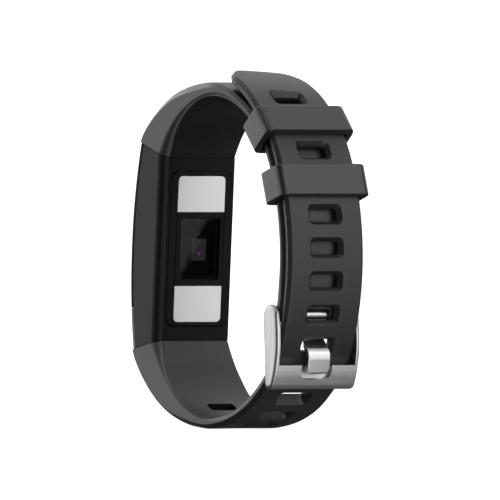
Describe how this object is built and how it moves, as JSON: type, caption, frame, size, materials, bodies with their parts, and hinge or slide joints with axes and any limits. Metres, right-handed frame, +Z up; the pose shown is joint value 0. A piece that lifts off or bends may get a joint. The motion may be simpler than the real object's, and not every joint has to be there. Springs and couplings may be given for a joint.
{
  "type": "fitness tracker band",
  "caption": "Fitness tracker band: a slim sensor pod with steel electrodes and an optical window, closed into a loop by soft straps, sliding keepers and a pin buckle.",
  "frame": {"origin": "centre of the band's footprint, at the height of its lowest point", "axes": "+X across the band, +Y toward the display side of the pod, +Z up along the pod"},
  "size_m": [0.0224, 0.0606, 0.0753],
  "materials": {
    "case_plastic": "satin dark grey",
    "front_glass": "polished black glass",
    "display_panel": "unlit display",
    "flex_film": "amber film",
    "touch_key": "satin grey",
    "circuit_board": "solder mask",
    "chip_black": "moulded",
    "chip_grey": "satin",
    "shield_can": "satin",
    "battery_foil": "foil",
    "gold_contact": "plated",
    "rotor_brass": "sintered",
    "cover_plastic": "satin near black",
    "gasket_rubber": "matte",
    "bezel_plastic": "satin near black",
    "window_glass": "polished dark window",
    "lens_purple": "coated lens",
    "electrode_steel": "fine satin",
    "strap_rubber": "matte dark grey elastomer",
    "keeper_rubber": "matte dark grey elastomer",
    "bar_steel": "drawn",
    "spring_steel": "drawn",
    "buckle_steel": "polished and satin steel",
    "tongue_steel": "polished steel"
  },
  "bodies": {
    "band": {"case": "case_plastic", "front_glass": "front_glass", "display_panel": "display_panel", "display_flex": "flex_film", "touch_key": "touch_key", "main_board": "circuit_board", "processor_chip": "chip_black", "radio_chip": "shield_can", "battery": "battery_foil", "battery_tab": "gold_contact", "motor_can": "shield_can", "motor_shaft": "bar_steel", "back_cover": "cover_plastic", "cover_gasket": "gasket_rubber", "sensor_bezel": "bezel_plastic", "sensor_window": "window_glass", "sensor_board": "circuit_board", "sensor_chip": "chip_grey", "sensor_lens": "lens_purple", "electrode_upper": "electrode_steel", "electrode_lower": "electrode_steel", "contact_upper": "gold_contact", "contact_lower": "gold_contact", "strap_upper": "strap_rubber", "strap_lower": "strap_rubber", "lug_tube_upper": "bar_steel", "lug_spring_upper": "spring_steel", "lug_tube_lower": "bar_steel", "lug_spring_lower": "spring_steel", "buckle_tube": "bar_steel", "buckle_spring": "spring_steel"},
    "keeper_upper": {"keeper_upper": "keeper_rubber"},
    "keeper_lower": {"keeper_lower": "keeper_rubber"},
    "buckle_frame": {"buckle_frame": "buckle_steel"},
    "buckle_tongue": {"buckle_tongue": "tongue_steel"},
    "motor_rotor": {"motor_rotor": "rotor_brass"},
    "lug_tip_upper_left": {"lug_tip_upper_left": "bar_steel"},
    "lug_tip_upper_right": {"lug_tip_upper_right": "bar_steel"},
    "lug_tip_lower_left": {"lug_tip_lower_left": "bar_steel"},
    "lug_tip_lower_right": {"lug_tip_lower_right": "bar_steel"},
    "buckle_tip_left": {"buckle_tip_left": "bar_steel"},
    "buckle_tip_right": {"buckle_tip_right": "bar_steel"}
  },
  "joints": [
    {"name": "keeper_upper_slide", "type": "hinge", "parent": "band", "child": "keeper_upper", "pos_m": [0, 0.00147, 0.04552], "axis": [1, 0, 0], "range_deg": [-2, 8.5]},
    {"name": "keeper_lower_slide", "type": "hinge", "parent": "band", "child": "keeper_lower", "pos_m": [0, 0.02069, 0.0353], "axis": [1, 0, 0], "range_deg": [-1.5, 22]},
    {"name": "buckle_swing", "type": "hinge", "parent": "band", "child": "buckle_frame", "pos_m": [0, -0.02567, 0.02617], "axis": [-1, 0, 0], "range_deg": [0, 5]},
    {"name": "tongue_lift", "type": "hinge", "parent": "buckle_frame", "child": "buckle_tongue", "pos_m": [0, -0.02567, 0.02617], "axis": [-1, 0, 0], "range_deg": [0, 3]},
    {"name": "motor_spin", "type": "hinge", "parent": "band", "child": "motor_rotor", "pos_m": [0, 0.02281, 0.04926], "axis": [0, 1, 0], "continuous": true},
    {"name": "lug_tip_upper_left_slide", "type": "slide", "parent": "band", "child": "lug_tip_upper_left", "axis": [1, 0, 0], "range_m": [0, 0.0012], "stiffness_N_per_m": 200, "springref_m": -0.0004, "deforming": ["lug_spring_upper"]},
    {"name": "lug_tip_upper_right_slide", "type": "slide", "parent": "band", "child": "lug_tip_upper_right", "axis": [-1, 0, 0], "range_m": [0, 0.0012], "stiffness_N_per_m": 200, "springref_m": -0.0004, "deforming": ["lug_spring_upper"]},
    {"name": "lug_tip_lower_left_slide", "type": "slide", "parent": "band", "child": "lug_tip_lower_left", "axis": [1, 0, 0], "range_m": [0, 0.0012], "stiffness_N_per_m": 200, "springref_m": -0.0004, "deforming": ["lug_spring_lower"]},
    {"name": "lug_tip_lower_right_slide", "type": "slide", "parent": "band", "child": "lug_tip_lower_right", "axis": [-1, 0, 0], "range_m": [0, 0.0012], "stiffness_N_per_m": 200, "springref_m": -0.0004, "deforming": ["lug_spring_lower"]},
    {"name": "buckle_tip_left_slide", "type": "slide", "parent": "band", "child": "buckle_tip_left", "axis": [1, 0, 0], "range_m": [0, 0.0012], "stiffness_N_per_m": 200, "springref_m": -0.0004, "deforming": ["buckle_spring"]},
    {"name": "buckle_tip_right_slide", "type": "slide", "parent": "band", "child": "buckle_tip_right", "axis": [-1, 0, 0], "range_m": [0, 0.0012], "stiffness_N_per_m": 200, "springref_m": -0.0004, "deforming": ["buckle_spring"]}
  ]
}
